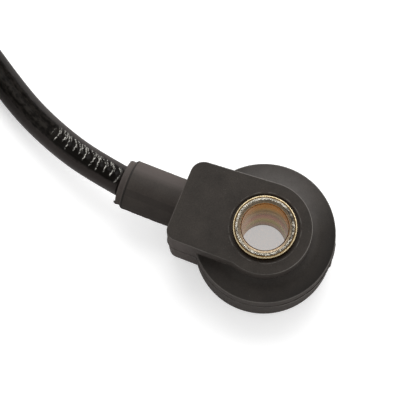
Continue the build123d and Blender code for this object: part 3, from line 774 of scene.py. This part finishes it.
def crinkle_height(along, angle, crests):
    """Give the jacket's rise in millimetres, whether it lies in the crinkled band, and how near a crest it is.

    Each crest is a line across the band, bowed and slanted, hooked at its far end and jagged by noise.
    """
    edge_wander = 6 * noise.noise(Vector((along * 0.9, 3.1, 0)))
    facing = 1 - smooth_step(27, 41, abs(angle - crinkle_angle + edge_wander))
    stretch = smooth_step(0.1, 0.9, along) * (1 - smooth_step(13.9, crinkle_reach, along))
    band = facing * stretch
    if band <= 0:
        return 0.0, 0.0, 0.0
    sideways = (angle - crinkle_angle) / crinkle_half
    rise, crest = -crinkle_sink, 0.0
    for seed, middle, height, slant, bow, width, low, high in crests:
        hook = 1.05 * smooth_step(0.12, 1.0, -sideways) ** 1.5
        jag = (0.17 * noise.noise(Vector((seed * 3.3, angle * 0.13, 7)))
               + 0.06 * noise.noise(Vector((seed, angle * 0.5, 1))))
        away = along - middle - slant * sideways - bow * (1 - sideways * sideways) - hook - jag
        if abs(away) < 6 * width:
            reach = smooth_step(low - 0.2, low + 0.1, sideways) * (1 - smooth_step(high - 0.2, high + 0.2, sideways))
            strength = reach * (0.45 + 1.5 * max(noise.noise(Vector((seed * 5.1, angle * 0.14, 2))) + 0.34, 0))
            rise += height * strength * exp(-abs(away) / (1.5 * width))
            crest = max(crest, min(strength, 1) * exp(-(away / (0.40 * width)) ** 2))
    return rise * band, band, min(crest, 1) * smooth_step(0.35, 0.9, facing) * stretch


def lead_crests():
    """Give each crinkle's seed, place, height, slant, bow, width and span, uneven but the same on each run."""
    crests, middle, number = [], 0.9, 0
    while middle < crinkle_reach:
        wander = [noise.noise(Vector((number * 1.7, seed, 0.5))) for seed in (0.3, 5.2, 9.7, 14.4, 21.3)]
        crests.append((number, middle, 0.27 + 0.12 * wander[0], -0.12 + 0.55 * wander[1], -0.52 + 0.45 * wander[2],
                       0.16 + 0.06 * wander[3], -1.1, 0.42 + 0.6 * wander[4]))
        # lesser folds beside them, on part of the way
        crests.append((number + 40, middle - 0.50 + 0.3 * wander[2], 0.13, 0.2 - 0.9 * wander[3],
                       -0.2 - 0.5 * wander[0], 0.11, -1.0 + 0.3 * wander[2], -0.25 + 0.5 * wander[1]))
        if number % 2:
            crests.append((number + 70, middle + 0.45 + 0.3 * wander[1], 0.10, 0.9 + 0.6 * wander[0],
                           -0.1, 0.10, -1.0, -0.45 + 0.3 * wander[4]))
        middle += 1.42 + 0.75 * wander[1] + 0.45 * wander[2]
        number += 1
    return crests


def make_lead():
    """Make the jacket as a tube along the lead's line, crinkled where it leaves the housing, and give both."""
    line = line_of(lead_points())
    lengths = [0.0]
    for before, after in zip(line, line[1:]):
        lengths.append(lengths[-1] + (after - before).length)
    stations, along = [], 0.0
    while along < lengths[-1] - 0.4 * MM:
        stations.append(along)
        along += fine_step if along < fine_reach else coarse_step
    stations.append(lengths[-1])
    crests = lead_crests()
    places, bands, nearness, index = [], [], [], 0
    for along in stations:
        while index < len(lengths) - 2 and lengths[index + 1] < along:
            index += 1
        share = (along - lengths[index]) / (lengths[index + 1] - lengths[index])
        middle = line[index].lerp(line[index + 1], share)
        ahead = line[min(index + 2, len(line) - 1)] - line[max(index - 1, 0)]
        sideways = ahead.cross(Vector((0, 0, 1))).normalized()
        upwards = sideways.cross(ahead).normalized()
        for side in range(jacket_sides):
            angle = -90 + 360 * side / jacket_sides
            rise, band, crest = crinkle_height(along / MM, angle, crests)
            reach = (cable_radius + rise) * MM
            places.append((middle + reach * (cos(radians(angle)) * sideways + sin(radians(angle)) * upwards)) / MM)
            bands.append(band)
            nearness.append(crest)
    mesh = tube_mesh("lead_jacket", places, jacket_sides, "jacket",
                     lambda row, side: (stations[row], side / jacket_sides * tau * cable_radius * MM))
    for name, values in (("crinkle", bands), ("crest", nearness)):
        mesh.attributes.new(name, "FLOAT", "POINT").data.foreach_set("value", values)
    return add_piece("lead_jacket", mesh, "cable_jacket"), line


# ---------------------------------------------------------------- bushing

def lathe(name, outline, steps=256):
    """Turn a closed outline of radius and height round the Z axis."""
    count = len(outline)
    places = [(radius * cos(tau * step / steps), radius * sin(tau * step / steps), height)
              for step in range(steps) for radius, height in outline]
    faces = []
    for step in range(steps):
        after = (step + 1) % steps
        for spot in range(count):
            beyond = (spot + 1) % count
            faces.append((step * count + spot, after * count + spot, after * count + beyond, step * count + beyond))
    mesh = mesh_from(name, places, faces)
    point_outwards(mesh)
    mesh.set_sharp_from_angle(angle=radians(40))
    return mesh


def rounded(outline, radius, arcs=4):
    """Round every corner of a closed outline by a small radius, given in millimetres."""
    result = []
    count = len(outline)
    for spot in range(count):
        before, corner, after = (Vector(outline[(spot + step) % count]) for step in (-1, 0, 1))
        reach = min(radius, 0.45 * (before - corner).length, 0.45 * (after - corner).length)
        first = corner + reach * (before - corner).normalized()
        last = corner + reach * (after - corner).normalized()
        for step in range(arcs + 1):
            share = step / arcs
            point = (1 - share) ** 2 * first + 2 * share * (1 - share) * corner + share ** 2 * last
            result.append((point.x, point.y))
    return result


def make_bushing():
    """Make the turned bushing: flange below, shaft inside the moulding, and the ring that shows on top."""
    outline = [(bore_radius, 0.0), (flange_radius - 0.3, 0.0), (flange_radius, 0.3), (flange_radius, 0.85),
               (flange_radius - groove_depth, 0.85), (flange_radius - groove_depth, 1.55), (flange_radius, 1.55),
               (flange_radius, flange_thickness), (bushing_radius, flange_thickness)]
    for middle in grip_grooves:
        low, high, floor = middle - groove_depth, middle + groove_depth, bushing_radius - groove_depth
        outline += [(bushing_radius, low), (floor, low), (floor, high), (bushing_radius, high)]
    for inwards, drop in ((0.0, 0.30), (0.10, 0.08), (0.26, 0.0), (0.32, 0.14), (0.40, 0.14), (0.46, 0.0), (0.90, 0.0),
                          (0.98, 0.12), (1.08, 0.12), (1.34, 0.20), (1.55, 0.46)):
        outline.append((bushing_radius - inwards, bushing_height - drop))
    return add_piece("bushing_turned", lathe("bushing_turned", rounded(outline, 0.05)), "plated_steel")


# ---------------------------------------------------------------- housing

def make_housing():
    """Make the housing's skin from the CAD shape, shaded smooth over its roundings."""
    mesh = merged_copy("housing", "housing_skin", 32)
    return true_normals(weigh_normals(add_piece("housing_skin", mesh, "black_nylon")))


def parting_line():
    """Give the line where the mould's halves met, from one side of the stub's mouth round the housing to the other."""
    work = bmesh.new()
    work.from_mesh(merged_copy("housing", "cut_helper"))
    cut = bmesh.ops.bisect_plane(work, geom=work.verts[:] + work.edges[:] + work.faces[:], dist=0.001 * MM,
                                 plane_co=(0, 0, (parting_z + 0.02) * MM), plane_no=(0, 0, 1))["geom_cut"]
    on_cut = {part for part in cut if isinstance(part, bmesh.types.BMEdge)}
    start = max((vertex for edge in on_cut for vertex in edge.verts), key=lambda vertex: vertex.co.x)
    halves = []
    for first in [edge for edge in start.link_edges if edge in on_cut]:
        current, last, half = first.other_vert(start), first, []
        while current.co.x > (stub_mouth_x + 0.01) * MM:
            half.append(current.co.copy())
            last = next(edge for edge in current.link_edges if edge in on_cut and edge is not last)
            current = last.other_vert(current)
        half.append(current.co.copy())
        halves.append(half)
    line = halves[0][::-1] + [start.co.copy()] + halves[1]
    work.free()
    return line


def make_flash():
    """Make the thin uneven ridge of flash on the parting line, heavier on the right, with a nub at each end."""
    return raise_lines("parting_flash", [parting_line()], "black_nylon", Radius=0.10 * MM, Step=0.16 * MM,
                       Unevenness=0.45, Seed=3.0, End_Reach=1.0 * MM, End_Size=3.2, Heavy_Side=heavy_side,
                       Heavy_Gain=2.6)


# ---------------------------------------------------------------- plug and strap

def dressed_copy(node, slot, width):
    """Stand in for a CAD node with a copy whose edges are rounded as moulded edges are."""
    piece = add_piece(node + "_skin", merged_copy(node, node + "_skin"), slot)
    bevel = piece.modifiers.new("round", "BEVEL")
    bevel.width = width * MM
    bevel.segments = 3
    bevel.limit_method = "ANGLE"
    bevel.angle_limit = radians(30)
    weigh_normals(piece)
    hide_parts(node)
    return piece


def make_plug_ribs():
    """Make the grip ribs that stand across both sides of the plug and across its top, behind the latch."""
    first_rib, rib_step, side_reach, top_reach = 2.2, 1.3, 3.9, 4.2
    lines = []
    for number in range(6):
        x = plug_rear_x + first_rib + rib_step * number
        ends = [[(x, plug_y + side * plug_width / 2, plug_z + height) for height in (-side_reach, side_reach)]
                for side in (-1, 1)]
        ends.append([(x, plug_y + across, plug_z + plug_height / 2) for across in (-top_reach, top_reach)])
        lines += [[Vector(end) * MM for end in line] for line in ends]
    return raise_lines("plug_grip_ribs", lines, "black_nylon", Radius=0.34 * MM, Step=0.1 * MM, Unevenness=0.0,
                       Seed=0.0, End_Reach=0.5 * MM, End_Size=0.25, Heavy_Side=(1, 0, 0), Heavy_Gain=1.0)


def make_strap():
    """Make the woven strap that holds the coil: one closed round, then its free end laid over the first layer."""
    straight = coil_high_z - coil_low_z
    layer = tie_thickness / 2
    bend = cable_radius + tie_clearance + layer / 2
    whole = 2 * straight + tau * bend
    outwards = Vector((cos(radians(tie_angle)), sin(radians(tie_angle)), 0))
    upwards = Vector((0, 0, 1))
    along_coil = upwards.cross(outwards)
    centre = Vector((*coil_centre, (coil_low_z + coil_high_z) / 2)) + coil_radius * outwards

    def spot_on_loop(run, lift):
        """Give the place and the outward way at a run along the loop from the middle of its outer side, upwards."""
        run %= whole
        # the inner half of the loop is the outer half turned by half a turn
        turn = 1 if run < whole / 2 else -1
        run %= whole / 2
        quarter, corner = straight / 2, tau / 2 * bend
        if run < quarter:
            way, height = outwards, run
        elif run < quarter + corner:
            angle = (run - quarter) / bend
            way, height = outwards * cos(angle) + upwards * sin(angle), quarter
        else:
            way, height = -outwards, 2 * quarter + corner - run
        return centre + turn * (way * (bend + lift) + upwards * height), turn * way

    across = [(-1.0, 0.0), (-0.985, 0.42), (-0.94, 0.62), (-0.86, 0.58), (-0.80, 0.50), (-0.4, 0.52), (0.0, 0.53),
              (0.4, 0.52), (0.80, 0.50), (0.86, 0.58), (0.94, 0.62), (0.985, 0.42), (1.0, 0.0)]
    section = across + [(side, -0.8 * rise) for side, rise in reversed(across[1:-1])]
    # the strap starts before the middle of the outer side, and climbs over its own start at the end of the round
    first, last, climb_low, climb_high = -2.6, whole + 2.2, whole - 4.4, whole - 2.8
    count = 190
    places = []
    for step in range(count + 1):
        run = first + (last - first) * step / count
        middle, way = spot_on_loop(run, layer * 0.98 * smooth_step(climb_low, climb_high, run))
        reach = tie_width / 2 - 0.25 * (1 - smooth_step(0, 0.5, last - run))
        reach += 0.05 * noise.noise(Vector((run * 0.8, 2.0, 0)))
        for side, rise in section:
            places.append(middle + along_coil * side * reach + way * rise * layer * 0.92)
    mesh = tube_mesh("coil_strap", places, len(section), "weave", lambda row, side: (
        (last - first) * row / count, section[side % len(section)][0] * tie_width / 2))
    return add_piece("coil_strap", mesh, "tie_strap")


# ---------------------------------------------------------------- stage and light

def set_stage():
    """Lay a plain white floor, which fades to full white where nothing shades it."""
    steps, reach = 96, 8.0
    places = [(reach * cos(tau * step / steps) / MM, reach * sin(tau * step / steps) / MM, 0) for step in range(steps)]
    floor = into_scene("floor", mesh_from("floor", places, [tuple(range(steps))]))
    material = bpy.data.materials.new("white_floor")
    material.use_nodes = True
    tree = material.node_tree
    tree.nodes.clear()
    seen = add(tree, "ShaderNodeLightPath")
    direct = calc("MAXIMUM", calc("MAXIMUM", seen["Is Camera Ray"], seen["Is Glossy Ray"]), seen["Is Transmission Ray"])
    paper = add(tree, "ShaderNodeBsdfDiffuse", {"Color": (0.80, 0.80, 0.80)})["BSDF"]
    glow = add(tree, "ShaderNodeEmission", {"Color": (1, 1, 1), "Strength": direct * 0.43})["Emission"]
    both = add(tree, "ShaderNodeAddShader", {0: paper, 1: glow})["Shader"]
    add(tree, "ShaderNodeOutputMaterial", {"Surface": both})
    floor.data.materials.append(material)


def set_light():
    """Light the sensor from a pale room whose ceiling is darker, with a large softbox high behind it."""
    world = bpy.data.worlds.new("room")
    world.use_nodes = True
    tree = world.node_tree
    way = parts_of(add(tree, "ShaderNodeTexCoord")["Generated"])
    room = spread(way["Z"], 0.45, 0.85, 1.02, 0.36) * spread(way["Y"], -1.0, 0.3, 0.80, 1.18)
    glow = calc("MAXIMUM", spread(way["Y"], 0.2, 0.9) * 2.2, spread(abs(way["X"]), 0.2, 0.9) * 0.6)
    wire(tree.nodes["Background"], Color=(1, 1, 1), Strength=room * (spread(way["Z"], 0.55, 0.15) * glow + 1.0))
    bpy.context.scene.world = world

    light = bpy.data.lights.new("softbox_back", "AREA")
    light.shape = "RECTANGLE"
    light.size, light.size_y = 0.60, 0.45
    light.energy = 4.0
    softbox = into_scene("softbox_back", light)
    softbox.location = (-0.16, 0.42, 0.75)
    aim = Vector((-0.01, 0, 0.008)) - softbox.location
    softbox.rotation_euler = aim.to_track_quat("-Z", "Y").to_euler()


# ---------------------------------------------------------------- the sensor

place_camera()
set_stage()
set_light()

for part in frame["record"]["subparts"]:
    node = frame["nodes"][part["node"]]
    node.data.materials.clear()
    node.data.materials.append(finishes[part["material_slot"]])

lead, lead_line = make_lead()
bushing = make_bushing()
housing = make_housing()
flash = make_flash()
strap = make_strap()
plug_skin = dressed_copy("plug_housing", "black_nylon", 0.22)
cap_skin = dressed_copy("plug_rear_cap", "black_nylon", 0.25)
plug_ribs = make_plug_ribs()
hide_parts("lead", "lead_coil", "lead_tail")
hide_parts("bushing")
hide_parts("housing")
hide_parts("coil_tie")
for piece in (lead, bushing, housing, flash, strap, plug_skin, cap_skin, plug_ribs):
    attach(piece, "root")

inside_plug = ("plug_cable_seal", "plug_cable_end", "plug_pin_1", "plug_pin_2", "plug_wire_1", "plug_wire_2")
[frame["nodes"][name] for name in inside_plug] + [plug_skin, cap_skin, plug_ribs, strap]

bpy.context.scene.view_settings.view_transform = "Standard"
